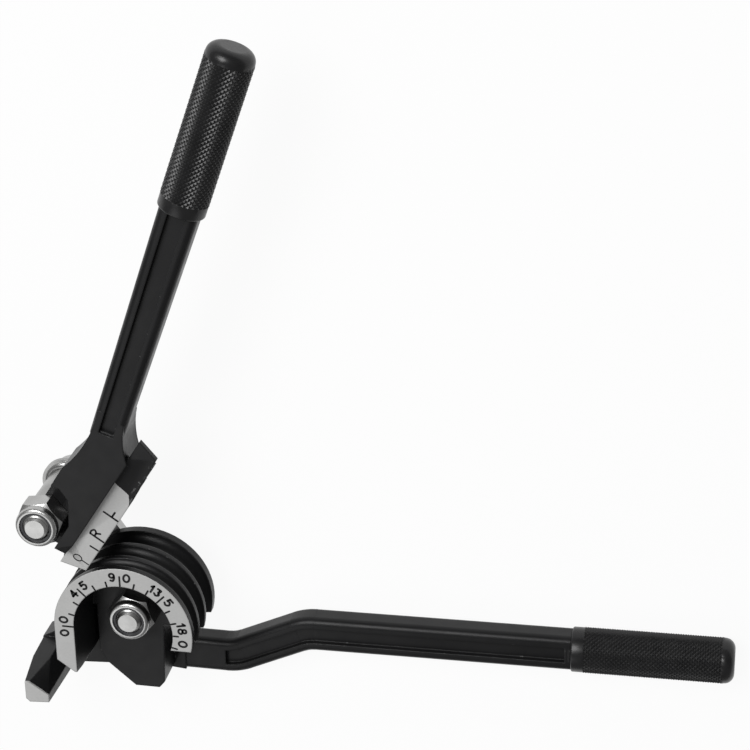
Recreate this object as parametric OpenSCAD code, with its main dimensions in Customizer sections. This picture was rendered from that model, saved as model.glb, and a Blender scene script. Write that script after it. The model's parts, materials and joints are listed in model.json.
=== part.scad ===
// Hand tube bender for three tube sizes, lying on its back, in millimetres.
// The die axis is the Z axis, the main handle runs along +X and the scale faces look up.

/* [Tubes] */
// Outside diameter of the smallest tube, nearest the scale face
tube_small = 6; // [5:0.5:7]
// Outside diameter of the middle tube
tube_mid = 8; // [7:0.5:9]
// Outside diameter of the largest tube, farthest from the scale face
tube_large = 10; // [9:0.5:11]

/* [Die] */
// Radius of the die rims, which is also the bend radius at the tube's middle
rim_r = 29.2; // [28:0.2:32]
// Width of the ground scale ring
scale_w = 8.2; // [7.6:0.1:9]
// Thickness of the flange that carries the scale
near_flange = 3; // [2.5:0.1:4]
// Thickness of the two flanges between the grooves
mid_flange = 2.5; // [2:0.1:3]
// Thickness of the flange at the back
rear_flange = 4; // [3:0.1:5]
// How far the rims run on below the axis at the 180 end
rim_overrun = 7; // [5:0.5:8]
// How far the straight leg runs on below the axis at the 0 end
leg_drop = 16.3; // [14:0.1:18]
// Lean of the cavity wall, over its whole depth
wall_draft = 2.2; // [1:0.1:3]
// How far the die nut's top lies below the scale face
nut_sink = 7.3; // [5:0.1:9]

/* [Hub] */
// Distance of the hub's lower edge from the die axis
hub_drop = 38.2; // [37:0.1:41]
// Width of the hub below the die, to the right of the axis
hub_right = 11; // [9:0.1:13]
// Radius of the round land under the die nut
land_r = 11.5; // [11:0.1:13]

/* [Hook] */
// Width of the hook post at its ground end
hook_w = 10; // [8:0.1:12]
// Height of the hook post
hook_h = 9.6; // [8:0.1:11]
// Distance from the die axis down to the hook's upper edge
hook_drop = 29; // [27:0.1:31]
// Gap between the hook and the side of the largest tube
hook_play = 0.2; // [0.1:0.05:0.5]
// How far the hook post spreads toward its foot
hook_spread = 4.2; // [2:0.1:6]

/* [Handles] */
// Width of the main handle, seen from the front
handle_w = 15.7; // [14:0.1:16]
// Thickness of both handles, front to back
handle_t = 11.5; // [10.5:0.1:11.8]
// Rounding of the handles' long edges
handle_round = 3; // [1:0.1:4]
// Width of the sunk channel along the handles
channel_w = 7; // [5:0.1:8]
// Depth of the sunk channel
channel_depth = 2.4; // [1:0.1:3.5]
// Distance of the main handle's first straight below the die axis
arm_drop = 31.6; // [31:0.1:33]
// Where the first bend of the main handle lies, along X
bend_x = 36.6; // [35:0.1:38]
// Slope of the main handle between its two bends, in degrees
bend_angle = 25.2; // [22:0.1:26]
// Length of the sloped part, between the bend corners
bend_run = 34; // [31:0.1:34.5]
// Radius of both bends at the middle of the handle
bend_round = 18; // [12:0.5:24]
// Rise of the straight part of the main handle, in degrees
handle_tilt = 1; // [0:0.1:2]
// Length of the straight part, from the bend corner to the grip
handle_len = 112.2; // [90:0.1:130]
// Width of the forming handle at its head
shaft_w_head = 13.4; // [12:0.1:14]
// Width of the forming handle at its grip
shaft_w_grip = 15.6; // [14:0.1:16]
// Length of the forming handle from its head to its grip
shaft_len = 93; // [75:0.5:110]

/* [Grips] */
// Diameter of the grips
grip_d = 19; // [18.4:0.1:19.2]
// Length of the grips
grip_len = 66.5; // [50:0.1:80]
// Rounding of the grips' free ends
grip_round = 5; // [3:0.1:7]
// Diameter of the round tang inside a grip
tang_d = 13; // [11:0.1:13.6]
// Thickness of the grip beyond the end of the tang
grip_cap = 4; // [3:0.1:6]

/* [Fasteners] */
// Diameter of both bolts
bolt_d = 11.1; // [10:0.1:11.4]
// Width across the flats of nuts and bolt heads
nut_af = 17.5; // [17:0.1:17.6]
// Height of the bolt heads
bolt_head_h = 7.5; // [6:0.1:8.5]
// Height of the hexagon part of a nut
nut_hex_h = 8.6; // [8:0.1:9.5]
// Height of the rolled collar of a nut
collar_h = 3.4; // [3:0.1:4]
// How far a bolt's end stands out of its nut
bolt_proud = 1; // [0.5:0.1:2]
// Diameter of the opening in a nut's collar
collar_open_d = 13.6; // [13.2:0.1:14]
// Diameter of the washer under the die bolt's head
washer_d = 18; // [17.6:0.1:18.4]
// Diameter of the washer under the pivot bolt's domed head
pivot_washer_d = 16; // [15:0.1:16.2]
// Thickness of both washers
washer_t = 3; // [2.8:0.1:3.5]

// Turn of the die nut, in degrees
die_nut_turn = -12; // [-30:1:30]
// Turn of the pivot nut, in degrees
pivot_nut_turn = 8; // [-30:1:30]

/* [Link] */
// Thickness of the link bar
link_t = 5; // [4:0.1:6]
// Radius of the link's end round the die bolt
link_die_r = 10; // [9:0.1:11]
// Radius of the link's end round the pivot
link_pivot_r = 8; // [7.6:0.1:8.1]
// Width of the link at its waist
link_waist_w = 12; // [10:0.1:14]
// Direction of the link in the pose of the photograph, in degrees from +X
link_angle = 123.4; // [100:0.1:150]

/* [Pivot bush] */
// Diameter of the bush's barrel
bush_d = 15.2; // [14.6:0.1:15.6]
// Diameter of the bush's flange, next to the link
bush_flange_d = 21.2; // [19.6:0.1:22]
// Thickness of the bush's flange
bush_flange_t = 2; // [1.5:0.1:3]
// Radius of the hollow between the barrel and the flange
bush_hollow = 2.2; // [1:0.1:2.4]

/* [Forming shoe] */
// Gap between the shoe's rims and the die's rims while a tube is bent
shoe_gap = 1.9; // [1.5:0.1:2.5]
// Length of the grooved shoe
shoe_len = 40; // [34:0.5:44]
// Height of the grooved shoe above its working edge
shoe_h = 10.7; // [9.5:0.1:11.5]
// Length of the scale strip at its working edge
strip_len = 61.4; // [58:0.1:66]
// Slant of the scale strip's upper end
strip_slant = 3; // [0:0.1:4.4]
// Slant of the shoe's lower end
shoe_slant = 3; // [0:0.1:4]
// Distance of the 0 mark from the shoe's lower end
mark_a = 4; // [2:0.1:6]
// Distance of the pivot from the shoe's lower end
pivot_a = 7.8; // [7:0.1:8.2]
// Height of the pivot above the shoe's working edge
pivot_n = 26.2; // [25.5:0.1:28]
// How far the forming handle is open in the pose of the photograph, in degrees
open_angle = 20.1; // [0:0.1:60]
// How far the raised head stands in front of the scale strip
head_proud = 3; // [1:0.1:4]
// Slope of the forming handle against the shoe, in degrees
shaft_angle = 12.95; // [10:0.05:16]
// Radius of the hollow between the shoe's upper end and the forming handle
throat_r = 35; // [30:0.5:40]
// Radius of the hollow between the head's top and the forming handle
nape_r = 50; // [40:0.5:70]

/* [Fits] */
// Running clearance round a turning shaft, on the radius
run_clear = 0.05; // [0.02:0.01:0.1]
// Clearance of fixed fits, on the radius
fix_clear = 0.05; // [0.02:0.01:0.1]
// Gap between the link and the faces that swing over it
swing_gap = 0.25; // [0.15:0.05:0.5]

/* [Hidden] */
$fn = 96;
over = 1;
lap = 0.6;
slim_fit = 0.1;
bolt_r = bolt_d / 2;
nut_h = nut_hex_h + collar_h;
collar_r = nut_af / 2 - 0.1;
collar_roll = 1.5;
ring_sink = 0.7;
hex_chamfer = 1.2;
end_chamfer = 0.8;
tang_play = 0.5;
link_z = bolt_head_h + washer_t;
link_top = link_z + link_t;
die_back = link_top + swing_gap;
die_w = near_flange + tube_small + 2 * mid_flange + tube_mid + tube_large + rear_flange;
near_z = die_back + die_w;
scale_r = rim_r - scale_w;
hub_z = near_z - nut_sink - nut_h;
floor_r = scale_r - wall_draft;
head_z = near_z + head_proud;
handle_z = grip_d / 2;
handle_back = handle_z - handle_t / 2;
tang_r = tang_d / 2;
shoe_back = die_back + swing_gap;

// Grooves as radius and height, from the scale face backward
small_z = near_z - near_flange - tube_small / 2;
mid_z = small_z - tube_small / 2 - mid_flange - tube_mid / 2;
large_z = mid_z - tube_mid / 2 - mid_flange - tube_large / 2;
GROOVES = [[tube_small / 2, small_z], [tube_mid / 2, mid_z], [tube_large / 2, large_z]];

// The leg's slanted end, the hub's outline and the back frame
leg_end = leg_drop + 5.4;
leg_in = rim_r - 7.2;
slot_w = 1.6;
hub_cut = 3;
hub_head = 8;
hub_left = floor_r - slot_w;
slot_z = hub_z - 8;
land_pocket_z = die_back + 4;
frame_top = max(washer_d / 2, link_die_r) + 2.75;
frame_right = hub_right + 4;
hub_flat = 2.4;
hook_x = rim_r + tube_large / 2 + hook_play;
hook_slope = 29;
hook_flare = 1.6;
hook_cut = 2.6;
hook_slant = 5.6;
hook_knee = 20;
foot_x = hook_x + hook_w + hook_spread;
foot_low = hook_drop + hook_h + hook_flare;
slab = 0.1;
channel_stop = 2;

// Corners of the main handle's centre line
bend_in = bend_round * tan(bend_angle / 2);
bend_out = bend_round * tan((bend_angle - handle_tilt) / 2);
corner_2 = [bend_x + bend_run * cos(bend_angle), bend_run * sin(bend_angle) - arm_drop];

// The forming pivot, from the shoe lying a fixed gap off the die
lead = atan((pivot_a - mark_a) / (rim_r + shoe_gap + pivot_n));
link_len = norm([pivot_a - mark_a, rim_r + shoe_gap + pivot_n]);
shoe_angle = link_angle - 90 + lead + open_angle;
bush_r = bush_d / 2;
bush_flange_r = bush_flange_d / 2;
bush_top = near_z - 6.2;
boss_r = bush_r + 2.3;
boss_back = link_top + bush_flange_t + bush_hollow + swing_gap;
ear_z = bush_top - swing_gap;
head_back = near_z - 15;
head_top_n = pivot_n + 4.2;
head_low_n = shoe_h - 0.8;
head_end_a = 5.5;
shaft_start = [66, head_top_n - 6];
shaft_base = 60;
shaft_root = 8;
channel_root = 5.8;
channel_round = 0.4;
throat_at = [79.6, -14.1];
nape_at = [shaft_base - 8.5, head_top_n - 2.2 + nape_r];
rib_t = 14;
rib_tip = [shoe_len + 25, shoe_h + 6];
rib_foot = 6;
pocket_land = 4.9;
pocket_reach = 17.5;
pocket_slant = 2.6;

PAINT = [0.09, 0.09, 0.1];
ZINC = [0.78, 0.78, 0.75];
GRIP = [0.14, 0.14, 0.15];
NYLON = [0.2, 0.21, 0.24];

// A rectangle with round corners, about its middle
module round_rect(w, h, r) {
    square([w - 2 * r, h], center = true);
    square([w, h - 2 * r], center = true);
    for (x = [-1, 1], y = [-1, 1])
        translate([x * (w / 2 - r), y * (h / 2 - r)])
            circle(r);
}

// A straight bar along +X with the given section
module bar(len) {
    rotate([90, 0, 90])
        linear_extrude(len)
            children();
}

// The main handle's bends; children are the section of the bends and of the straights
module bends() {
    translate([bend_x - bend_in, bend_round - arm_drop, 0])
        rotate(-90)
            rotate_extrude(angle = bend_angle)
                translate([bend_round, 0])
                    children(0);
    translate([bend_x, -arm_drop, 0])
        rotate(bend_angle)
            translate([bend_in - lap, 0, 0])
                bar(bend_run - bend_in - bend_out + 2 * lap)
                    children(1);
    translate([corner_2[0], corner_2[1], 0])
        rotate(handle_tilt)
            translate([bend_out, -bend_round, 0])
                rotate(90)
                    rotate_extrude(angle = bend_angle - handle_tilt)
                        translate([bend_round, 0])
                            children(0);
}

// Section of the main handle, a little slimmer where it laps into a bend
module handle_section(slim) {
    round_rect(handle_w - slim, handle_t - slim, handle_round - slim / 2);
}

module channel_section(slim) {
    square([channel_w - slim, 2 * channel_depth - slim], center = true);
}

// Places children at the start of the main handle's straight part, along +X
module at_straight() {
    translate([corner_2[0], corner_2[1], 0])
        rotate(handle_tilt)
            translate([bend_out - lap, 0, 0])
                children();
}

// Places children at the foot of the main grip, along +X
module at_main_grip() {
    translate([corner_2[0], corner_2[1], handle_z])
        rotate(handle_tilt)
            translate([handle_len, 0, 0])
                children();
}

// Places children in the forming shoe's frame
module at_shoe() {
    rotate(link_angle)
        translate([link_len, 0, 0])
            rotate(shoe_angle - link_angle)
                translate([-pivot_a, -pivot_n, 0])
                    children();
}

// Places children at the forming handle's start, along +X
module at_shaft() {
    at_shoe()
        translate([shaft_start[0], shaft_start[1], head_z - handle_t / 2])
            rotate(shaft_angle)
                children();
}

// Grip tube along +Z with a rounded free end and a blind bore
module grip_tube() {
    grip_r = grip_d / 2;
    difference() {
        union() {
            cylinder(r = grip_r, h = grip_len - grip_round);
            cylinder(r = grip_r - grip_round, h = grip_len);
            translate([0, 0, grip_len - grip_round])
                rotate_extrude()
                    translate([grip_r - grip_round, 0])
                        intersection() {
                            circle(grip_round);
                            square(grip_round);
                        }
        }
        translate([0, 0, -over])
            cylinder(r = tang_r + fix_clear, h = grip_len - grip_cap + over);
    }
}

// Tang along +Z inside a grip
module tang() {
    translate([0, 0, -over])
        cylinder(r = tang_r, h = grip_len - grip_cap - tang_play + over);
}

// Hexagon prism with turned-down corners on one end
module hexagon(h, chamfer_top) {
    corner_r = nut_af / sqrt(3);
    intersection() {
        cylinder(r = corner_r, h = h, $fn = 6);
        union() {
            cylinder(r = corner_r + over, h = h - hex_chamfer);
            translate([0, 0, h - hex_chamfer])
                cylinder(r1 = corner_r + fix_clear, r2 = chamfer_top, h = hex_chamfer);
        }
    }
}

// Plain bolt shank from inside its head to its chamfered end
module shank(len) {
    translate([0, 0, bolt_head_h - over])
        cylinder(r = bolt_r, h = len - bolt_head_h + over - end_chamfer);
    translate([0, 0, len - end_chamfer])
        cylinder(r1 = bolt_r, r2 = bolt_r - end_chamfer, h = end_chamfer);
}

// Hexagon bolt head with its outer face at the floor
module hex_head() {
    translate([0, 0, bolt_head_h])
        rotate([180, 0, 0])
            hexagon(bolt_head_h, collar_r);
}

// Domed bolt head standing on its crown
module dome_head() {
    translate([0, 0, bolt_head_h])
        rotate_extrude()
            intersection() {
                circle(bolt_head_h);
                translate([0, -bolt_head_h])
                    square(bolt_head_h);
            }
}

// Nut with a rolled collar, standing on its base
module lock_nut() {
    difference() {
        union() {
            hexagon(nut_hex_h, collar_r);
            cylinder(r = collar_r, h = nut_h - collar_roll);
            cylinder(r = collar_r - collar_roll, h = nut_h);
            translate([0, 0, nut_h - collar_roll])
                rotate_extrude()
                    translate([collar_r - collar_roll, 0])
                        intersection() {
                            circle(collar_roll);
                            square(collar_roll);
                        }
        }
        translate([0, 0, -over])
            cylinder(r = bolt_r + fix_clear, h = nut_h + 2 * over);
        translate([0, 0, nut_hex_h])
            cylinder(r = collar_open_d / 2, h = collar_h + over);
    }
}

// Ring of a nut, lying on the nut's inner step
module nut_ring() {
    translate([0, 0, nut_hex_h])
        difference() {
            cylinder(r = collar_open_d / 2 - fix_clear, h = collar_h - ring_sink);
            translate([0, 0, -over])
                cylinder(r = bolt_r + fix_clear, h = collar_h + 2 * over);
        }
}

module washer(d) {
    translate([0, 0, bolt_head_h])
        difference() {
            cylinder(r = d / 2, h = washer_t);
            translate([0, 0, -over])
                cylinder(r = bolt_r + fix_clear, h = washer_t + 2 * over);
        }
}

// Outline of the die: rims over the top, and the straight leg at the 0 end
module die_outline() {
    root = scale_w / 2;
    intersection() {
        circle(rim_r);
        union() {
            translate([-rim_r - over, 0])
                square(2 * (rim_r + over));
            translate([0, -rim_overrun])
                square([rim_r + over, rim_overrun + over]);
        }
    }
    polygon([[-rim_r, 0], [-rim_r, -leg_drop], [-leg_in, -leg_end], [-leg_in + slot_w, -leg_end],
        [-hub_left, -leg_drop - slot_w], [-hub_left, root], [-rim_r + root, root]]);
}

// Outline of the hub below the die
module hub_outline() {
    polygon([[-hub_left, hub_head], [-hub_left, -leg_end], [hub_cut - hub_left, -leg_end - 2 * hub_cut],
        [-hub_flat, -hub_drop], [hub_right - hub_cut, -hub_drop], [hub_right - lap, hub_cut - hub_drop],
        [hub_right + lap, 0], [0, hub_head]]);
}

// Grooves of the three tubes: round the die, then straight down the leg
module die_grooves() {
    start_turn = -30;
    groove_turn = 212;
    for (g = GROOVES)
        translate([0, 0, g[1]]) {
            rotate(start_turn)
                rotate_extrude(angle = groove_turn)
                    translate([rim_r, 0])
                        circle(g[0] + fix_clear);
            translate([-rim_r, lap, 0])
                rotate([90, 0, 0])
                    cylinder(r = g[0], h = leg_end + lap + over);
        }
}

// Cavity behind the scale ring, open below between leg and hub
module die_cavity() {
    depth = near_z - hub_z;
    pocket_start = 12;
    pocket_turn = 78;
    translate([0, 0, hub_z])
        cylinder(r1 = floor_r, r2 = scale_r, h = depth);
    translate([0, 0, near_z])
        cylinder(r = scale_r, h = over);
    rotate([90, 0, 0])
        linear_extrude(leg_end + over)
            polygon([[-scale_r, near_z + over], [-scale_r, near_z], [-floor_r, hub_z],
                [-floor_r, slot_z], [-hub_left, slot_z], [-hub_left, hub_z], [0, hub_z],
                [0, near_z + over]]);
    intersection() {
        translate([0, 0, land_pocket_z])
            difference() {
                cylinder(r = floor_r - lap, h = near_z - land_pocket_z);
                translate([0, 0, -over])
                    cylinder(r = land_r, h = near_z);
            }
        rotate(pocket_start)
            rotate_extrude(angle = pocket_turn)
                square([rim_r, near_z]);
    }
}

// Foot of the hook, hub and handle behind the die
module back_frame() {
    top_run = (hook_drop - frame_top) / tan(hook_slope);
    translate([0, 0, handle_back])
        linear_extrude(die_back - handle_back)
            polygon([[-foot_x, -hook_drop], [top_run - foot_x, -frame_top], [hub_right, -frame_top],
                [frame_right, handle_w / 2 - arm_drop - lap], [frame_right, lap - arm_drop - handle_w / 2],
                [hub_right - hub_cut, -hub_drop], [-hub_flat, -hub_drop], [-hook_x, -foot_low],
                [hook_cut - foot_x, -foot_low], [-foot_x, hook_cut - foot_low]]);
}

// Section of the hook post near its foot, drawn in from the foot's outline
module hook_section(inset) {
    polygon([[inset - foot_x, -hook_drop], [-hook_x - hook_slant, -hook_drop],
        [-hook_x, -hook_drop - hook_slant], [-hook_x, inset - foot_low],
        [inset + hook_cut - foot_x, inset - foot_low], [inset - foot_x, inset + hook_cut - foot_low]]);
}

// Post of the hook, spreading from its ground end to its foot
module hook() {
    tip_x = hook_x + hook_w;
    tip_low = hook_drop + hook_h;
    knee_inset = 1.1;
    hull() {
        translate([0, 0, near_z - slab])
            linear_extrude(slab)
                polygon([[-tip_x, -hook_drop], [hook_flare - tip_x, -hook_drop],
                    [-hook_x, -hook_drop - hook_slant], [-hook_x, lap - tip_low],
                    [hook_flare - tip_x, -tip_low], [-tip_x, hook_flare - tip_low]]);
        translate([0, 0, near_z - hook_knee])
            linear_extrude(slab)
                hook_section(knee_inset);
        translate([0, 0, handle_back + channel_stop])
            linear_extrude(slab)
                hook_section(0);
    }
}

module main_casting() {
    arm_start = hub_right - hub_cut;
    color(PAINT)
        difference() {
            union() {
                translate([0, 0, die_back])
                    linear_extrude(die_w)
                        die_outline();
                translate([0, 0, die_back])
                    linear_extrude(hub_z - die_back)
                        hub_outline();
                back_frame();
                hook();
                translate([0, 0, handle_z]) {
                    translate([arm_start, -arm_drop, 0])
                        bar(bend_x - bend_in - arm_start + lap)
                            handle_section(slim_fit);
                    bends() {
                        handle_section(0);
                        handle_section(slim_fit);
                    }
                    at_straight()
                        bar(handle_len - bend_out + lap)
                            handle_section(slim_fit);
                }
                at_main_grip()
                    rotate([0, 90, 0])
                        tang();
            }
            die_cavity();
            die_grooves();
            cylinder(r = bolt_r + fix_clear, h = near_z + over);
            for (side = [-1, 1])
                translate([0, 0, handle_z + side * handle_t / 2]) {
                    bends() {
                        channel_section(0);
                        channel_section(slim_fit);
                    }
                    at_straight()
                        bar(handle_len - bend_out - channel_stop)
                            channel_section(slim_fit);
                }
        }
}

module main_grip() {
    color(GRIP)
        at_main_grip()
            rotate([0, 90, 0])
                grip_tube();
}

module die_bolt() {
    color(ZINC) {
        hex_head();
        shank(hub_z + nut_h + bolt_proud);
    }
}

module die_washer() {
    color(ZINC)
        washer(washer_d);
}

module die_nut() {
    color(ZINC)
        translate([0, 0, hub_z])
            rotate(die_nut_turn)
                lock_nut();
}

module die_nut_ring() {
    color(NYLON)
        translate([0, 0, hub_z])
            nut_ring();
}

// Places children on the forming pivot, turning with the link
module at_pivot() {
    rotate(link_angle)
        translate([link_len, 0, 0])
            rotate(-link_angle)
                children();
}

module link() {
    waist = link_waist_w / 2;
    side_r = 60;
    color(ZINC)
        rotate(link_angle)
            translate([0, 0, link_z])
                difference() {
                    linear_extrude(link_t)
                        union() {
                            circle(link_die_r);
                            translate([link_len, 0])
                                circle(link_pivot_r);
                            difference() {
                                translate([0, lap - link_pivot_r])
                                    square([link_len, 2 * (link_pivot_r - lap)]);
                                for (side = [-1, 1])
                                    translate([link_len / 2, side * (waist + side_r)])
                                        circle(side_r);
                            }
                        }
                    for (x = [0, link_len])
                        translate([x, 0, -over])
                            cylinder(r = bolt_r + run_clear, h = link_t + 2 * over);
                }
}

module pivot_bush() {
    hollow_z = link_top + bush_flange_t;
    color(ZINC)
        at_pivot()
            difference() {
                union() {
                    translate([0, 0, link_top])
                        cylinder(r = bush_r, h = bush_top - link_top);
                    translate([0, 0, link_top])
                        cylinder(r = bush_flange_r, h = bush_flange_t);
                    translate([0, 0, hollow_z - fix_clear])
                        difference() {
                            cylinder(r = bush_r + bush_hollow, h = bush_hollow + fix_clear);
                            translate([0, 0, bush_hollow + fix_clear])
                                rotate_extrude()
                                    translate([bush_r + bush_hollow, 0])
                                        circle(bush_hollow);
                        }
                }
                translate([0, 0, link_top - over])
                    cylinder(r = bolt_r + fix_clear, h = bush_top - link_top + 2 * over);
            }
}

module pivot_bolt() {
    color(ZINC)
        at_pivot() {
            dome_head();
            shank(bush_top + nut_h + bolt_proud);
        }
}

module pivot_washer() {
    color(ZINC)
        at_pivot()
            washer(pivot_washer_d);
}

module pivot_nut() {
    color(ZINC)
        at_pivot()
            translate([0, 0, bush_top])
                rotate(pivot_nut_turn)
                    lock_nut();
}

module pivot_nut_ring() {
    color(NYLON)
        at_pivot()
            translate([0, 0, bush_top])
                nut_ring();
}

// Outline of the raised head, up to the start of the forming handle
module head_outline() {
    neck_a = shaft_base + 8;
    difference() {
        polygon([[head_end_a + 3, head_low_n], [head_end_a - 2, shoe_h], [head_end_a - 4, pivot_n],
            [head_end_a - 4, head_top_n], [shaft_base - 22, head_top_n], [neck_a, head_top_n + 1],
            [neck_a, head_low_n], [shaft_base - 8, head_low_n]]);
        translate(throat_at)
            circle(throat_r);
        translate(nape_at)
            circle(nape_r);
    }
}

// Pocket round the pivot nut, open past the head's top and end
module head_pocket() {
    low_n = shoe_h + pocket_land;
    open_n = head_top_n + bush_r;
    open_a = -nut_af;
    far_a = pivot_a + pocket_reach;
    polygon([[open_a, low_n], [pivot_a + bush_r, low_n], [far_a, pivot_n - bush_r + pocket_slant],
        [far_a + pocket_slant, pivot_n + lap], [far_a, open_n], [open_a, open_n]]);
}

// Forming handle from the head to its grip, widening toward the grip
module shaft(w_head, w_grip, t, r, start) {
    hull() {
        translate([start, 0, 0])
            bar(slab)
                round_rect(w_head, t, r, $fn = 32);
        translate([shaft_len - slab, 0, 0])
            bar(slab)
                round_rect(w_grip, t, r, $fn = 32);
    }
}

// Grooved shoe with the scale strip in front of it
module shoe() {
    body_h = shoe_h + 1.9;
    body_len = shoe_len - 1.5;
    strip_rise = 1.2;
    translate([0, 0, near_z - near_flange])
        linear_extrude(near_flange)
            polygon([[0, 0], [shoe_len, 0], [strip_len, strip_rise], [strip_len + strip_slant, shoe_h],
                [-shoe_slant, shoe_h]]);
    translate([0, 0, shoe_back])
        linear_extrude(near_z - lap - shoe_back)
            polygon([[0, 0], [body_len, 0], [body_len, body_h], [head_end_a, body_h],
                [lap - shoe_slant, shoe_h - lap]]);
}

// Rib behind the strip's upper end, running into the throat
module strip_rib() {
    translate([0, 0, near_z - rib_t])
        linear_extrude(rib_t - near_flange + lap)
            polygon([[shoe_len - channel_stop, lap], [shoe_len + rib_foot, lap],
                [rib_tip[0] - rib_foot, shoe_h - lap], [rib_tip[0], rib_tip[1] - channel_stop], rib_tip,
                [rib_tip[0] - 2 * rib_foot, rib_tip[1]]]);
}

// Boss round the bush, open past the head's top, and its web to the shoe
module boss() {
    translate([0, 0, boss_back])
        linear_extrude(ear_z - boss_back) {
            intersection() {
                translate([pivot_a, pivot_n])
                    circle(boss_r);
                translate([pivot_a - boss_r - over, 0])
                    square([2 * (boss_r + over), head_top_n]);
            }
            polygon([[0, shoe_h], [pivot_a + boss_r, shoe_h], [pivot_a + boss_r - slim_fit, pivot_n],
                [pivot_a - boss_r + slim_fit, pivot_n]]);
        }
}

module forming_casting() {
    color(PAINT)
        difference() {
            union() {
                at_shoe() {
                    shoe();
                    strip_rib();
                    boss();
                    translate([0, 0, head_back])
                        linear_extrude(head_z - head_back)
                            head_outline();
                }
                at_shaft() {
                    shaft(shaft_w_head, shaft_w_grip, handle_t, handle_round, -shaft_root);
                    translate([shaft_len, 0, 0])
                        rotate([0, 90, 0])
                            tang();
                }
            }
            at_shoe() {
                translate([0, 0, ear_z])
                    linear_extrude(head_z - ear_z + over)
                        head_pocket();
                translate([pivot_a, pivot_n, 0])
                    cylinder(r = bush_r + run_clear, h = head_z);
                for (g = GROOVES)
                    translate([-over - shoe_slant, -shoe_gap, g[1]])
                        rotate([0, 90, 0])
                            cylinder(r = g[0], h = shoe_len + shoe_slant + 2 * over);
            }
            at_shaft()
                for (side = [-1, 1])
                    translate([0, 0, side * handle_t / 2])
                        shaft(channel_w - over, channel_w, 2 * channel_depth, channel_round, -channel_root);
        }
}

module forming_grip() {
    color(GRIP)
        at_shaft()
            translate([shaft_len, 0, 0])
                rotate([0, 90, 0])
                    grip_tube();
}

main_casting();
main_grip();
die_bolt();
die_washer();
die_nut();
die_nut_ring();
link();
pivot_bush();
pivot_bolt();
pivot_washer();
pivot_nut();
pivot_nut_ring();
forming_casting();
forming_grip();
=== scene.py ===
"""Hand tube bender lying on its back: looks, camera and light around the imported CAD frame."""
import json
import math

import bmesh
import bpy
import numpy as np
from mathutils import Matrix, Vector


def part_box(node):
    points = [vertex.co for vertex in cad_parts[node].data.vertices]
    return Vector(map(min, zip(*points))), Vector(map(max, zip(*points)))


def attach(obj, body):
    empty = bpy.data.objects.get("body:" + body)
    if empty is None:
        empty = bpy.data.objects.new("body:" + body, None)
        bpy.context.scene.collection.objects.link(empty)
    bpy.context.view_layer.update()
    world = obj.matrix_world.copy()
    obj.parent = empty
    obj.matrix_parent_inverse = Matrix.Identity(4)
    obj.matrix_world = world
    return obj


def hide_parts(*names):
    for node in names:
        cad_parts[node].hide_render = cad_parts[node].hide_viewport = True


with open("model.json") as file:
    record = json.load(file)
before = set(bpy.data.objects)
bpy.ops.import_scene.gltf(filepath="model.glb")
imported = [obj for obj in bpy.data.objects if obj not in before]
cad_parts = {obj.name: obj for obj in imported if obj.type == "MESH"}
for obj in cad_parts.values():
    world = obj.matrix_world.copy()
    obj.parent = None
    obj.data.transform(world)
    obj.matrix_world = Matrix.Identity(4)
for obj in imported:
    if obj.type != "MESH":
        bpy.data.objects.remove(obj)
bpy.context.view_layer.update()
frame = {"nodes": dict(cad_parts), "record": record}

MM = 0.001
RECORD = frame["record"]
NODES = frame["nodes"]
MOUNTS = {m["name"]: m for m in RECORD["mounts"]}
JOINTS = {j["name"]: j for j in RECORD["behaviour"]["joints"]}

# Places taken from the frame, in metres
FACE_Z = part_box("main_casting")[1][2]
RIM_R = -MOUNTS["tube_seat_small"]["pos_m"][0]
PIVOT = Vector(JOINTS["forming_pivot"]["pos_m"])

# The scale ring on the die
SCALE_W = 8.2 * MM
RING_R = RIM_R - SCALE_W

# The shoe's own frame at rest, a along it and n across it: its angle, and the pivot's place in it
SHOE_ANGLE = math.radians(57.3)
PIVOT_A = 7.8 * MM
PIVOT_N = 26.2 * MM

# Welding and sharp edges of meshes copied from CAD nodes
WELD = 0.001 * MM
SHARP = math.radians(13.0)


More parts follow.
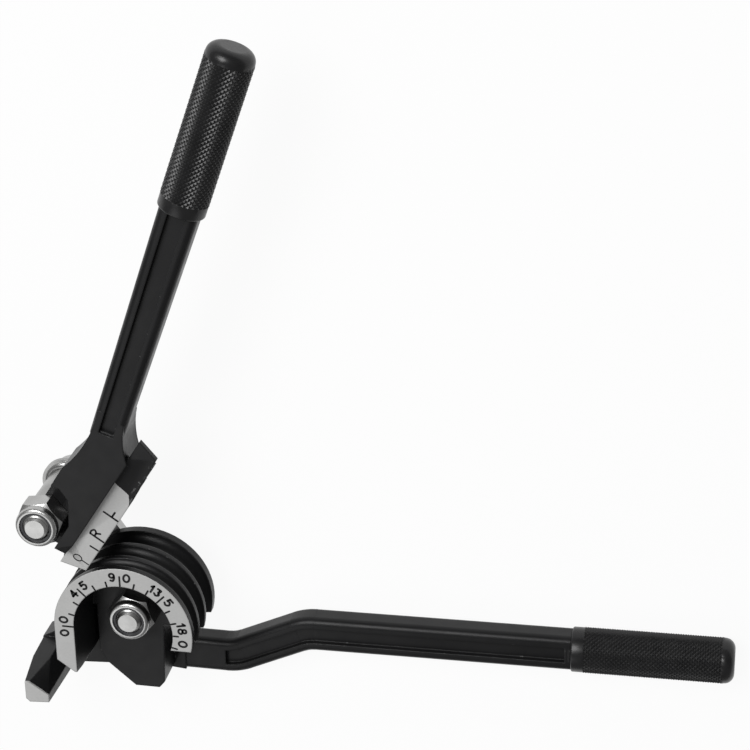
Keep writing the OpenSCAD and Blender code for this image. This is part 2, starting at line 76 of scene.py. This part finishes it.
class Nodes:
    """Short helper for building a material's node tree."""

    BEVEL_SAMPLES = 6
    EDGE_FADE = (0.99, 0.86)

    def __init__(self, name):
        self.material = bpy.data.materials.new(name)
        self.material.use_nodes = True
        self.tree = self.material.node_tree
        self.shader = self.tree.nodes["Principled BSDF"]

    def add(self, kind, **settings):
        node = self.tree.nodes.new(kind)
        for key, value in settings.items():
            setattr(node, key, value)
        return node

    def link(self, source, target):
        self.tree.links.new(source, target)

    def value(self, socket, source):
        """Sets a socket from a number or another socket."""
        if isinstance(source, (int, float)):
            socket.default_value = source
        else:
            self.link(source, socket)

    def math(self, operation, first, second=0.0):
        node = self.add("ShaderNodeMath", operation=operation)
        self.value(node.inputs[0], first)
        self.value(node.inputs[1], second)
        return node.outputs[0]

    def coords(self):
        return self.add("ShaderNodeTexCoord").outputs["Object"]

    def noise(self, scale, detail=3.0, stretch=None, roughness=0.55):
        node = self.add("ShaderNodeTexNoise")
        node.inputs["Scale"].default_value = scale
        node.inputs["Detail"].default_value = detail
        node.inputs["Roughness"].default_value = roughness
        source = self.coords()
        if stretch:
            mapping = self.add("ShaderNodeMapping")
            mapping.inputs["Scale"].default_value = stretch
            self.link(source, mapping.inputs["Vector"])
            source = mapping.outputs["Vector"]
        self.link(source, node.inputs["Vector"])
        return node.outputs["Fac"]

    def spread(self, source, low, high, to_low=0.0, to_high=1.0):
        node = self.add("ShaderNodeMapRange")
        node.inputs["From Min"].default_value = low
        node.inputs["From Max"].default_value = high
        node.inputs["To Min"].default_value = to_low
        node.inputs["To Max"].default_value = to_high
        self.link(source, node.inputs["Value"])
        return node.outputs["Result"]

    def mix(self, factor, first, second):
        node = self.add("ShaderNodeMix", data_type="RGBA")
        self.value(node.inputs["Factor"], factor)
        for socket, colour in ((node.inputs[6], first), (node.inputs[7], second)):
            if isinstance(colour, tuple):
                socket.default_value = (*colour, 1.0)
            else:
                self.link(colour, socket)
        return node.outputs[2]

    def soft_edges(self, radius):
        """Normal with edges rounded to a small radius."""
        node = self.add("ShaderNodeBevel", samples=self.BEVEL_SAMPLES)
        node.inputs["Radius"].default_value = radius
        return node.outputs["Normal"]

    def edge_mask(self, normal):
        """1 near a sharp edge, 0 on open faces."""
        dot = self.add("ShaderNodeVectorMath", operation="DOT_PRODUCT")
        self.link(normal, dot.inputs[0])
        self.link(self.add("ShaderNodeNewGeometry").outputs["True Normal"], dot.inputs[1])
        return self.spread(dot.outputs["Value"], *self.EDGE_FADE)

    def bump(self, scale, detail, distance, strength, normal=None):
        node = self.add("ShaderNodeBump")
        node.inputs["Strength"].default_value = strength
        node.inputs["Distance"].default_value = distance
        self.link(self.noise(scale, detail), node.inputs["Height"])
        if normal:
            self.link(normal, node.inputs["Normal"])
        self.link(node.outputs["Normal"], self.shader.inputs["Normal"])


# Parts of a noise's range that are spread from one tone or gloss to another
MIDDLE = (0.35, 0.65)
WIDE = (0.3, 0.7)

# Plain finishes: scales of their noise, range of roughness, and bump as scale, detail, height, strength
ZINC = dict(
    tone_scale=90.0, rough_scale=200.0, rough=(0.27, 0.35),
    bump=(900.0, 1.0, 0.005 * MM, 0.1), metallic=1.0,
)
NYLON = dict(
    tone_scale=700.0, rough_scale=900.0, rough=(0.36, 0.48),
    bump=(3000.0, 3.0, 0.02 * MM, 0.3),
)
GRIP = dict(
    tone_scale=120.0, rough_scale=400.0, rough=(0.26, 0.36),
    bump=(3200.0, 3.0, 0.02 * MM, 0.3), specular=0.36,
)
INK = dict(tone_scale=900.0, rough_scale=1400.0, rough=(0.5, 0.7), specular=0.2)

# Darkest and lightest colour of each finish
ZINC_TONES = ((0.42, 0.42, 0.415), (0.49, 0.49, 0.485))
# The bush's zinc is a darker copy of the zinc, as painted shade.
SHADED_ZINC_TONES = ((0.32, 0.32, 0.315), (0.4, 0.4, 0.395))
NYLON_TONES = ((0.016, 0.016, 0.018), (0.035, 0.036, 0.04))
GRIP_TONES = ((0.008, 0.008, 0.0085), (0.014, 0.014, 0.0145))
INK_TONES = ((0.006, 0.006, 0.0065), (0.02, 0.02, 0.021))
PAINT_TONES = ((0.0085, 0.0085, 0.009), (0.0125, 0.0125, 0.013))
METAL_TONES = ((0.485, 0.485, 0.48), (0.52, 0.52, 0.515))


def plain_material(name, tones, tone_scale, rough_scale, rough, bump=None, metallic=0.0, specular=0.5):
    """A finish of nearly even tone, with faint variation of its colour and gloss."""
    n = Nodes(name)
    n.shader.inputs["Metallic"].default_value = metallic
    n.shader.inputs["Specular IOR Level"].default_value = specular
    n.link(n.mix(n.spread(n.noise(tone_scale), *MIDDLE), *tones), n.shader.inputs["Base Color"])
    n.link(n.spread(n.noise(rough_scale), *WIDE, *rough), n.shader.inputs["Roughness"])
    if bump:
        n.bump(*bump)
    return n.material


# Paint of the castings
EDGE_ROUND = 0.8 * MM
PAINT_SCALE = 45.0
PAINT_GLOSS_SCALE = 160.0
PAINT_ROUGH = (0.3, 0.4)
PAINT_SPECULAR = 0.2
PAINT_BUMP = (1100.0, 2.0, 0.03 * MM, 0.25)

# Painted highlight and wear: paint coloured lighter along edges as a painted highlight, flecks broken from
# them, scuffs, and chips beside a ground face
EDGE_HIGHLIGHT_COLOUR = (0.05, 0.05, 0.051)
EDGE_HIGHLIGHT_SHARE = 0.3
FLECKS = dict(scale=330.0, detail=5.0, roughness=0.7)
FLECK_RANGE = (0.62, 0.67)
FLECK_SHARE = 0.4
SCUFF_COLOUR = (0.15, 0.15, 0.152)
SCUFFS = dict(scale=420.0, detail=4.0, roughness=0.65)
SCUFF_RANGE = (0.56, 0.64)
SCUFF_SHARE = 0.8
CHIP_REACH = 1.5 * MM

# Bare ground metal of the scale faces, with a ragged border where it ends in the paint
FACE_TOLERANCE = 0.03 * MM
GROUND_RAGGED = 0.9 * MM
RAGGED = dict(scale=380.0, detail=4.0)
METAL_GRAIN = dict(scale=1700.0, stretch=(0.5, 1.0, 1.0))
METAL_SHINE = 0.35
METAL_ROUGHER = 0.18


def below(n, split, direction, limit, ragged=0.0):
    """1 where the part of a place along a direction is under a limit, with a ragged border."""
    along = n.math("MULTIPLY", split.outputs["X"], direction[0])
    along = n.math("ADD", along, n.math("MULTIPLY", split.outputs["Y"], direction[1]))
    if ragged:
        wave = n.math("SUBTRACT", n.noise(**RAGGED), 0.5)
        along = n.math("ADD", along, n.math("MULTIPLY", wave, ragged))
    return n.math("LESS_THAN", along, limit)


def casting_material(name, ground_limits=(), rub=None, chipped=None):
    """Black semi-gloss paint on cast metal, ground bare on the scale faces; a painted highlight and flecks
    of wear along the edges.

    ground_limits bound the ground face, rub is a strip of scuffed paint on that face, and
    chipped is a side of the part where the paint has broken away under the ground face.
    """
    n = Nodes(name)
    normal = n.soft_edges(EDGE_ROUND)
    edge = n.edge_mask(normal)
    split = n.add("ShaderNodeSeparateXYZ")
    n.link(n.coords(), split.inputs[0])
    height = split.outputs["Z"]
    face = n.math("GREATER_THAN", height, FACE_Z - FACE_TOLERANCE)
    face = n.math("MULTIPLY", face, n.math("LESS_THAN", height, FACE_Z + FACE_TOLERANCE))
    ground = face
    for direction, limit in ground_limits:
        ground = n.math("MULTIPLY", ground, below(n, split, direction, limit, GROUND_RAGGED))
    flecks = n.noise(**FLECKS)
    broken = n.math("MULTIPLY", n.spread(flecks, *FLECK_RANGE), edge)
    bare = n.math("MAXIMUM", ground, n.math("MULTIPLY", broken, FLECK_SHARE))
    if chipped:
        reach = n.math("ADD", height, n.math("MULTIPLY", flecks, CHIP_REACH))
        chips = n.math("MULTIPLY", below(n, split, *chipped), n.math("GREATER_THAN", reach, FACE_Z))
        bare = n.math("MAXIMUM", bare, chips)
    paint = n.mix(n.spread(n.noise(PAINT_SCALE), *WIDE), *PAINT_TONES)
    # Painted highlight: the paint's colour is lighter along edges, standing in for light caught by rounded
    # edges.
    paint = n.mix(n.math("MULTIPLY", edge, EDGE_HIGHLIGHT_SHARE), paint, EDGE_HIGHLIGHT_COLOUR)
    if rub:
        scuffs = n.math("MULTIPLY", n.spread(n.noise(**SCUFFS), *SCUFF_RANGE), face)
        scuffs = n.math("MULTIPLY", scuffs, below(n, split, *rub))
        paint = n.mix(n.math("MULTIPLY", scuffs, SCUFF_SHARE), paint, SCUFF_COLOUR)
    metal = n.mix(n.spread(n.noise(**METAL_GRAIN), *WIDE), *METAL_TONES)
    n.link(n.mix(bare, paint, metal), n.shader.inputs["Base Color"])
    n.link(n.math("MULTIPLY", bare, METAL_SHINE), n.shader.inputs["Metallic"])
    paint_rough = n.spread(n.noise(PAINT_GLOSS_SCALE), *WIDE, *PAINT_ROUGH)
    rough = n.math("ADD", paint_rough, n.math("MULTIPLY", bare, METAL_ROUGHER))
    n.link(rough, n.shader.inputs["Roughness"])
    n.shader.inputs["Specular IOR Level"].default_value = PAINT_SPECULAR
    n.bump(*PAINT_BUMP, normal)
    return n.material


def dress(names, material):
    for name in names:
        slots = NODES[name].data.materials
        slots.clear()
        slots.append(material)


def new_object(name, bm):
    mesh = bpy.data.meshes.new(name)
    bm.to_mesh(mesh)
    bm.free()
    obj = bpy.data.objects.new(name, mesh)
    bpy.context.collection.objects.link(obj)
    return obj


def new_piece(name, bm, material, body):
    """A piece of the visual model that rides on a body."""
    obj = new_object(name, bm)
    obj.data.materials.append(material)
    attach(obj, body)
    return obj


def cad_copy(node):
    """A welded copy of a CAD node's mesh."""
    bm = bmesh.new()
    bm.from_mesh(NODES[node].data)
    bmesh.ops.remove_doubles(bm, verts=bm.verts, dist=WELD)
    return bm


def shoe_point(a, n, z):
    """A point of the forming shoe's own frame at rest, in metres."""
    turn = Matrix.Rotation(SHOE_ANGLE, 4, "Z")
    place = turn @ Vector((a - PIVOT_A, n - PIVOT_N, 0.0))
    return PIVOT.to_2d().to_3d() + place + Vector((0.0, 0.0, z))


def shoe_line(angle, place):
    """A border over the shoe: its direction, turned from the shoe's own, and its place along that."""
    across = Vector((math.cos(SHOE_ANGLE + angle), math.sin(SHOE_ANGLE + angle), 0.0))
    return across, across.dot(shoe_point(*place, 0.0))


# Ink marks: flat strokes standing a hair above the ground faces
INK_T = 0.04 * MM
INK_SUNK = 0.02 * MM
CAP_STEPS = 5
CURVE_STEPS = 6


def smooth(points, closed):
    """A smooth line through points."""
    count = len(points)
    line = []
    for i in range(count if closed else count - 1):
        if closed:
            p0, p1, p2, p3 = (points[(i + k) % count] for k in (-1, 0, 1, 2))
        else:
            p0, p1, p2, p3 = (points[min(max(i + k, 0), count - 1)] for k in (-1, 0, 1, 2))
        for step in range(CURVE_STEPS):
            t = step / CURVE_STEPS
            bend = (2 * p0 - 5 * p1 + 4 * p2 - p3) * t + (3 * p1 - p0 - 3 * p2 + p3) * t * t
            line.append((2 * p1 + (p2 - p0 + bend) * t) / 2)
    return line if closed else line + [points[-1]]


def cap(centre, arm):
    """A half circle from an arm round to its other side."""
    turns = (-math.pi * step / CAP_STEPS for step in range(1, CAP_STEPS))
    return [centre + Matrix.Rotation(turn, 3, "Z") @ arm for turn in turns]


def ink_stroke(bm, points, width, closed=False):
    """A flat line of ink through points of the scale face, round at its ends."""
    if len(points) > 2:
        points = smooth(points, closed)
    count = len(points)
    arms = []
    for i in range(count):
        before = points[i - 1] if i or closed else points[0]
        after = points[(i + 1) % count] if i < count - 1 or closed else points[-1]
        run = (after - before).normalized()
        arms.append(Vector((-run.y, run.x, 0.0)) * width / 2)
    left = [p + arm for p, arm in zip(points, arms)]
    right = [p - arm for p, arm in zip(points, arms)]
    if closed:
        loops = [left, right]
    else:
        loops = [left + cap(points[-1], arms[-1]) + right[::-1] + cap(points[0], -arms[0])]
    levels = (FACE_Z - INK_SUNK, FACE_Z - INK_SUNK + INK_T)
    rims = [[[bm.verts.new((p.x, p.y, z)) for p in loop] for z in levels] for loop in loops]
    faces = []
    for low, high in rims:
        faces += [bm.faces.new((low[i - 1], low[i], high[i], high[i - 1])) for i in range(len(low))]
    for level in range(2):
        if closed:
            outer, inner = rims[0][level], rims[1][level]
            for i in range(count):
                faces.append(bm.faces.new((outer[i - 1], outer[i], inner[i], inner[i - 1])))
        else:
            faces.append(bm.faces.new(rims[0][level]))
    bmesh.ops.recalc_face_normals(bm, faces=faces)


def oval(x, y, rx, ry, points=8):
    """Places round an oval."""
    turns = (2 * math.pi * i / points for i in range(points))
    return [(x + rx * math.cos(turn), y + ry * math.sin(turn)) for turn in turns]


# Digits one unit tall: strokes as (closed, places)
DIGITS = {
    "0": ((True, oval(0.0, 0.0, 0.38, 0.5)),),
    "1": ((False, ((0.06, -0.5), (0.06, 0.5))), (False, ((0.06, 0.5), (-0.2, 0.24)))),
    "3": (
        (False, ((-0.28, 0.46), (0.22, 0.46), (0.02, 0.1), (0.3, -0.2), (0.02, -0.5), (-0.3, -0.36))),
    ),
    "4": (
        (False, ((0.14, -0.5), (0.14, 0.5))),
        (False, ((0.14, 0.5), (-0.36, -0.16))),
        (False, ((-0.36, -0.16), (0.36, -0.16))),
    ),
    "5": (
        (False, ((0.3, 0.5), (-0.22, 0.5))),
        (False, ((-0.22, 0.5), (-0.27, 0.08))),
        (False, ((-0.27, 0.08), (0.06, 0.15), (0.32, -0.15), (0.06, -0.5), (-0.3, -0.38))),
    ),
    "8": ((True, oval(0.0, 0.26, 0.25, 0.24)), (True, oval(0.0, -0.24, 0.32, 0.26))),
    "9": (
        (True, oval(0.0, 0.22, 0.3, 0.28)),
        (False, ((0.3, 0.2), (0.26, -0.18), (0.02, -0.5), (-0.24, -0.42))),
    ),
}


def digit(bm, text, place, angle, size, width):
    """One digit centred on a place, with its foot toward angle - 90 degrees."""
    turn = Matrix.Rotation(angle, 3, "Z") * size
    for closed, places in DIGITS[text]:
        ink_stroke(bm, [place + turn @ Vector((x, y, 0.0)) for x, y in places], width, closed)


def ring_point(radius, mark):
    """A point on the scale ring; mark is the bend in degrees."""
    turn = math.pi - math.radians(mark)
    return Vector((radius * math.cos(turn), radius * math.sin(turn), 0.0))


# Ring marks: the bend in degrees, and each digit with its place past that bend
RING_LABELS = (
    (0, (("0", -7.3), ("0", 6.9))),
    (45, (("4", -6.5), ("5", 7.2))),
    (90, (("9", -7.2), ("0", 6.7))),
    (135, (("1", -12.8), ("3", -6.5), ("5", 7.1))),
    (180, (("1", -12.2), ("8", -5.8), ("0", 7.8))),
)
RING_LAST = 195
RING_STEP = 15
LONG_MARKS = (0, 45, 90, 135)
TICK_IN = 0.3 * MM
TICK_SHORT = 2.3 * MM
TICK_LONG = 4.6 * MM
TICK_W = 0.8 * MM
DIGIT_OUT = 4.3 * MM
DIGIT_SIZE = 3.3 * MM
DIGIT_W = 0.95 * MM


def ring_marks(material):
    bm = bmesh.new()
    for mark in range(0, RING_LAST + 1, RING_STEP):
        length = TICK_LONG if mark in LONG_MARKS else TICK_SHORT
        ink_stroke(bm, [ring_point(RING_R + TICK_IN, mark), ring_point(RING_R + length, mark)], TICK_W)
    for mark, labels in RING_LABELS:
        for text, past in labels:
            at = mark + past
            turn = math.pi / 2 - math.radians(at)
            digit(bm, text, ring_point(RING_R + DIGIT_OUT, at), turn, DIGIT_SIZE, DIGIT_W)
    new_piece("ring_marks", bm, material, "main")


# Shoe marks in millimetres along and across the shoe: width, closed, places
SHOE_MARKS = (
    (0.5, True, oval(3.1, 5.7, 1.25, 1.85)),
    (0.5, False, ((3.15, 3.7), (3.0, 0.5))),
    (0.75, False, ((11.15, 4.1), (11.2, 0.5))),
    (0.85, False, ((16.25, 6.9), (16.0, 0.5))),
    (0.85, False, ((16.25, 6.95), (17.6, 7.1), (18.7, 6.2), (17.9, 5.1), (16.2, 4.9))),
    (0.85, False, ((17.6, 5.0), (18.5, 3.4))),
    (0.85, False, ((28.3, 7.2), (28.05, 0.5))),
    (0.85, False, ((28.2, 3.35), (30.7, 3.3))),
)


def shoe_marks(material):
    bm = bmesh.new()
    for width, closed, places in SHOE_MARKS:
        ink_stroke(bm, [shoe_point(a * MM, n * MM, 0.0) for a, n in places], width * MM, closed)
    new_piece("shoe_marks", bm, material, "forming")


# Bolts with a thread on the end that stands out of the nut
THREAD_PITCH = 1.5 * MM
THREAD_DEPTH = 0.9 * MM
THREAD_COLUMNS = 72
THREAD_ROW = 0.1 * MM
TIP_FLAT = 4.0 * MM
TIP_DEPTH = 1.7 * MM
TIP_CROWN = 0.05 * MM
CUT_UNDER = 1.0 * MM
UP = (0.0, 0.0, 1.0)


def threaded_bolt(node, ring_node, body, material):
    """The CAD bolt with a threaded, chamfered end in place of its plain one."""
    low, high = (Vector(corner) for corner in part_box(ring_node))
    axis = (low + high) / 2
    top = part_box(node)[1][2]
    cut = high.z - CUT_UNDER
    bm = cad_copy(node)
    near_top = [v.co for v in bm.verts if v.co.z > high.z]
    radius = max(math.hypot(c.x - axis.x, c.y - axis.y) for c in near_top)
    everything = bm.verts[:] + bm.edges[:] + bm.faces[:]
    bmesh.ops.bisect_plane(bm, geom=everything, plane_co=(0.0, 0.0, cut), plane_no=UP, clear_outer=True)
    bmesh.ops.holes_fill(bm, edges=[e for e in bm.edges if e.is_boundary], sides=0)
    for edge in bm.edges:
        edge.smooth = edge.is_manifold and edge.calc_face_angle() < SHARP
    rows = int((top - cut) / THREAD_ROW)
    rings = []
    for row in range(rows + 1):
        z = cut + (top - cut) * row / rows
        cone = TIP_FLAT + (radius - TIP_FLAT) * (top - z) / TIP_DEPTH
        ring = []
        for i in range(THREAD_COLUMNS):
            turn = i / THREAD_COLUMNS
            phase = (z / THREAD_PITCH - turn) % 1.0
            own = min(radius - THREAD_DEPTH * abs(2 * phase - 1), cone)
            angle = 2 * math.pi * turn
            ring.append(bm.verts.new((axis.x + own * math.cos(angle), axis.y + own * math.sin(angle), z)))
        rings.append(ring)
    for lower, upper in zip(rings, rings[1:]):
        for i in range(THREAD_COLUMNS):
            j = (i + 1) % THREAD_COLUMNS
            bm.faces.new((lower[i], lower[j], upper[j], upper[i])).smooth = True
    foot = bm.verts.new((axis.x, axis.y, cut))
    crown = bm.verts.new((axis.x, axis.y, top + TIP_CROWN))
    for i in range(THREAD_COLUMNS):
        j = (i + 1) % THREAD_COLUMNS
        bm.faces.new((rings[0][j], rings[0][i], foot))
        bm.faces.new((rings[-1][i], rings[-1][j], crown))
    obj = new_piece(node + "_threaded", bm, material, body)
    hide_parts(node)


# The throat beside the shoe's upper end and the rib cut away there, in millimetres of the shoe's frame
THROAT_AT = (79.6, -14.1)
THROAT_R = 35.05
THROAT_STEPS = 12
RIB_FROM = 38.6
RIB_TO = 67.0
RIB_LOW = -0.5
RIB_HIGH = 16.75
HEAD_LOW = 9.85

# Depths under the scale face between which the rib is cut away
RIB_DEPTHS = (14.2 * MM, 2.35 * MM)


def throat_outline():
    """Outline of the rib under the strip's upper end, up to the wall of the throat."""
    outline = [(RIB_FROM, HEAD_LOW), (RIB_FROM, RIB_LOW), (RIB_TO, RIB_LOW), (RIB_TO, RIB_HIGH)]
    for n in np.linspace(RIB_HIGH, HEAD_LOW, THROAT_STEPS):
        outline.append((THROAT_AT[0] - math.sqrt(THROAT_R**2 - (n - THROAT_AT[1])**2), n))
    return outline


def rib_block():
    bm = bmesh.new()
    rims = []
    for depth in RIB_DEPTHS:
        rims.append([bm.verts.new(shoe_point(a * MM, n * MM, FACE_Z - depth)) for a, n in throat_outline()])
    low, high = rims
    for i in range(len(low)):
        bm.faces.new((low[i - 1], low[i], high[i], high[i - 1]))
    bm.faces.new(low)
    bm.faces.new(high)
    bmesh.ops.recalc_face_normals(bm, faces=bm.faces)
    return new_object("cutter", bm)


def open_throat(node, body, material):
    """The CAD casting without its rib, so that the wall of the throat shows as in the photograph."""
    blank = new_object("blank", cad_copy(node))
    cutter = rib_block()
    cut = blank.modifiers.new("cut", "BOOLEAN")
    cut.operation = "DIFFERENCE"
    cut.solver = "EXACT"
    cut.object = cutter
    bpy.context.view_layer.update()
    bm = bmesh.new()
    bm.from_object(blank, bpy.context.evaluated_depsgraph_get())
    for leftover in (blank, cutter):
        bpy.data.objects.remove(leftover)
    obj = new_piece(node + "_open", bm, material, body)
    obj.data.shade_smooth()
    obj.data.set_sharp_from_angle(angle=SHARP)
    obj.modifiers.new("flat_faces", "WEIGHTED_NORMAL").keep_sharp = True
    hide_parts(node)


# Grips with a diamond knurl between a plain band at the foot and a rounded end
KNURL_ROUND = 30
KNURL_DEPTH = 0.5 * MM
KNURL_STEP = 1.0 * MM
BAND = 5.2 * MM
BAND_GAP = 0.3 * MM
FOOT_ROUND = 0.7 * MM
FOOT_FACE = 1.2 * MM
FOOT_STEPS = 4
PLAIN_UNDER = 0.2 * MM
DOME_ROUND = 4.2 * MM
DOME_GAP = 0.6 * MM
DOME_STEPS = 8


def grip_axis(node):
    """Foot, direction, length and radius of a CAD grip; the foot is the end nearer the die."""
    points = np.array([v.co[:] for v in NODES[node].data.vertices])
    middle = (points.max(axis=0) + points.min(axis=0)) / 2
    axis = np.linalg.svd(points - points.mean(axis=0), full_matrices=False)[2][0]
    if np.dot(axis, middle) < 0:
        axis = -axis
    along = points @ axis
    radial = points - np.outer(along, axis)
    centre = (radial.max(axis=0) + radial.min(axis=0)) / 2
    radius = np.linalg.norm(radial - centre, axis=1).max()
    foot = centre + axis * along.min()
    return Vector(foot), Vector(axis), along.max() - along.min(), radius


def knurled_grip(node, body, material):
    """A grip on the CAD grip's own axis, as rings of points from its foot to its end."""
    foot, axis, length, crest = grip_axis(node)
    radius = crest - PLAIN_UNDER
    columns = 2 * KNURL_ROUND
    side = axis.orthogonal().normalized()
    up = axis.cross(side)
    rows = int((length - DOME_ROUND - DOME_GAP - BAND) / KNURL_STEP)
    profile = [(0.0, radius - FOOT_ROUND - FOOT_FACE)]
    for i in range(FOOT_STEPS + 1):
        turn = math.pi / 2 * i / FOOT_STEPS
        profile.append((FOOT_ROUND * (1 - math.cos(turn)), radius - FOOT_ROUND * (1 - math.sin(turn))))
    profile.append((BAND - BAND_GAP, radius))
    start = len(profile)
    profile += [(BAND + KNURL_STEP * j, None) for j in range(rows + 1)]
    stop = len(profile)
    for i in range(DOME_STEPS + 1):
        turn = math.pi / 2 * i / DOME_STEPS
        at = length - DOME_ROUND * (1 - math.sin(turn))
        profile.append((at, radius - DOME_ROUND * (1 - math.cos(turn))))
    bm = bmesh.new()
    rings = []
    for row, (at, r) in enumerate(profile):
        ring = []
        for i in range(columns):
            own = r if r is not None else crest - (KNURL_DEPTH if (i + row) % 2 == 0 else 0.0)
            turn = 2 * math.pi * i / columns
            outward = side * math.cos(turn) + up * math.sin(turn)
            ring.append(bm.verts.new(foot + axis * at + outward * own))
        rings.append(ring)
    for row in range(len(rings) - 1):
        knurled = start <= row < stop - 1
        for i in range(columns):
            j = (i + 1) % columns
            quad = (rings[row][i], rings[row][j], rings[row + 1][j], rings[row + 1][i])
            if not knurled:
                bm.faces.new(quad).smooth = True
            elif (i + row) % 2 == 0:
                bm.faces.new((quad[0], quad[1], quad[2]))
                bm.faces.new((quad[0], quad[2], quad[3]))
            else:
                bm.faces.new((quad[0], quad[1], quad[3]))
                bm.faces.new((quad[1], quad[2], quad[3]))
    bm.faces.new(rings[0][::-1])
    bm.faces.new(rings[-1])
    obj = new_piece(node + "_knurled", bm, material, body)
    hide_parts(node)


# The camera of the photograph: 750 pixels square, focal length in pixels, place from the scale face
IMAGE_PX = 750
FOCAL_PX = 2085.27
CAMERA_AT = (0.239532, 0.447197, 0.697592)
CAMERA_RIGHT = (0.982805, -0.008973, -0.184429)
CAMERA_DOWN = (0.068572, -0.909653, 0.409669)
CAMERA_FORWARD = (-0.171442, -0.415272, -0.893396)
SENSOR_MM = 36.0


def place_camera():
    data = bpy.data.cameras.new("photo_camera")
    data.sensor_fit = "HORIZONTAL"
    data.sensor_width = SENSOR_MM
    data.lens = FOCAL_PX / IMAGE_PX * SENSOR_MM
    camera = bpy.data.objects.new("photo_camera", data)
    bpy.context.collection.objects.link(camera)
    right = Vector(CAMERA_RIGHT)
    up = -Vector(CAMERA_DOWN)
    back = -Vector(CAMERA_FORWARD)
    turn = Matrix((right, up, back)).transposed().to_4x4()
    place = Vector(CAMERA_AT) + Vector((0.0, 0.0, FACE_Z))
    camera.matrix_world = Matrix.Translation(place) @ turn
    bpy.context.scene.camera = camera


# Floor, world and lamps, in metres and watts
FLOOR_HALF = 12.0
FLOOR_GAP = 0.1 * MM
FLOOR_COLOUR = (0.86, 0.86, 0.86, 1.0)
FLOOR_ROUGH = 0.9
WHITE_SHARE = 0.93
WORLD_COLOUR = (1.0, 1.0, 1.0, 1.0)
WORLD_LEVEL = 0.22
LIGHT_TARGET = Vector((0.05, 0.06, 0.03))
LIGHTS = {
    "key": dict(place=(-0.35, 0.85, 1.25), size=(0.8, 0.8), watts=17.0),
    "top": dict(place=(-0.75, -0.8, 1.3), size=(1.0, 1.3), watts=5.2),
}


def area_light(name, place, size, watts):
    data = bpy.data.lights.new(name, "AREA")
    data.shape = "RECTANGLE"
    data.size, data.size_y = size
    data.energy = watts
    light = bpy.data.objects.new(name, data)
    bpy.context.collection.objects.link(light)
    light.location = place
    light.rotation_euler = (LIGHT_TARGET - Vector(place)).to_track_quat("-Z", "Y").to_euler()


def white_seen(n):
    """Nearly white to camera, glossy and transmission rays, with a share of the lit floor's shadow."""
    path = n.add("ShaderNodeLightPath")
    seen = path.outputs["Is Camera Ray"]
    for kind in ("Is Glossy Ray", "Is Transmission Ray"):
        seen = n.math("MAXIMUM", seen, path.outputs[kind])
    mix = n.add("ShaderNodeMixShader")
    n.link(n.math("MULTIPLY", seen, WHITE_SHARE), mix.inputs[0])
    n.link(n.shader.outputs[0], mix.inputs[1])
    n.link(n.add("ShaderNodeEmission").outputs[0], mix.inputs[2])
    n.link(mix.outputs[0], n.tree.nodes["Material Output"].inputs["Surface"])


def set_stage():
    bm = bmesh.new()
    sides = ((-1, -1), (1, -1), (1, 1), (-1, 1))
    bm.faces.new([bm.verts.new((x * FLOOR_HALF, y * FLOOR_HALF, -FLOOR_GAP)) for x, y in sides])
    floor = new_object("floor", bm)
    n = Nodes("floor_white")
    n.shader.inputs["Base Color"].default_value = FLOOR_COLOUR
    n.shader.inputs["Roughness"].default_value = FLOOR_ROUGH
    white_seen(n)
    floor.data.materials.append(n.material)
    world = bpy.data.worlds.new("studio")
    world.use_nodes = True
    background = world.node_tree.nodes["Background"]
    background.inputs["Color"].default_value = WORLD_COLOUR
    background.inputs["Strength"].default_value = WORLD_LEVEL
    bpy.context.scene.world = world
    bpy.context.scene.view_settings.view_transform = "Standard"
    for name, light in LIGHTS.items():
        area_light(name, **light)


# Hardware
zinc = plain_material("zinc", ZINC_TONES, **ZINC)
dress(("die_washer", "die_nut", "link", "pivot_washer", "pivot_nut"), zinc)
# The pivot bush gets the darker copy of the zinc: painted shade on the bush.
dress(("pivot_bush",), plain_material("zinc_painted_shade", SHADED_ZINC_TONES, **ZINC))
threaded_bolt("die_bolt", "die_nut_ring", "main", zinc)
threaded_bolt("pivot_bolt", "pivot_nut_ring", "link", zinc)
dress(("die_nut_ring", "pivot_nut_ring"), plain_material("nylon", NYLON_TONES, **NYLON))

# Castings: a direction and a limit bound each area of bare metal or wear
HOOK_SIDE = ((1.0, 0.0), -34.2 * MM)
STRIP_END = shoe_line(-0.19, (41.6 * MM, 5.0 * MM))
STRIP_CORNER = shoe_line(-1.06, (41.2 * MM, 2.6 * MM))
STRIP_RUB = shoe_line(math.pi / 2, (0.0, 2.4 * MM))
dress(("main_casting",), casting_material("main_paint", chipped=HOOK_SIDE))
forming_paint = casting_material("forming_paint", (STRIP_END, STRIP_CORNER), STRIP_RUB)
open_throat("forming_casting", "forming", forming_paint)

# Grips and scales
grip = plain_material("grip", GRIP_TONES, **GRIP)
knurled_grip("main_grip", "main", grip)
knurled_grip("forming_grip", "forming", grip)
ink = plain_material("ink", INK_TONES, **INK)
ring_marks(ink)
shoe_marks(ink)

place_camera()
set_stage()
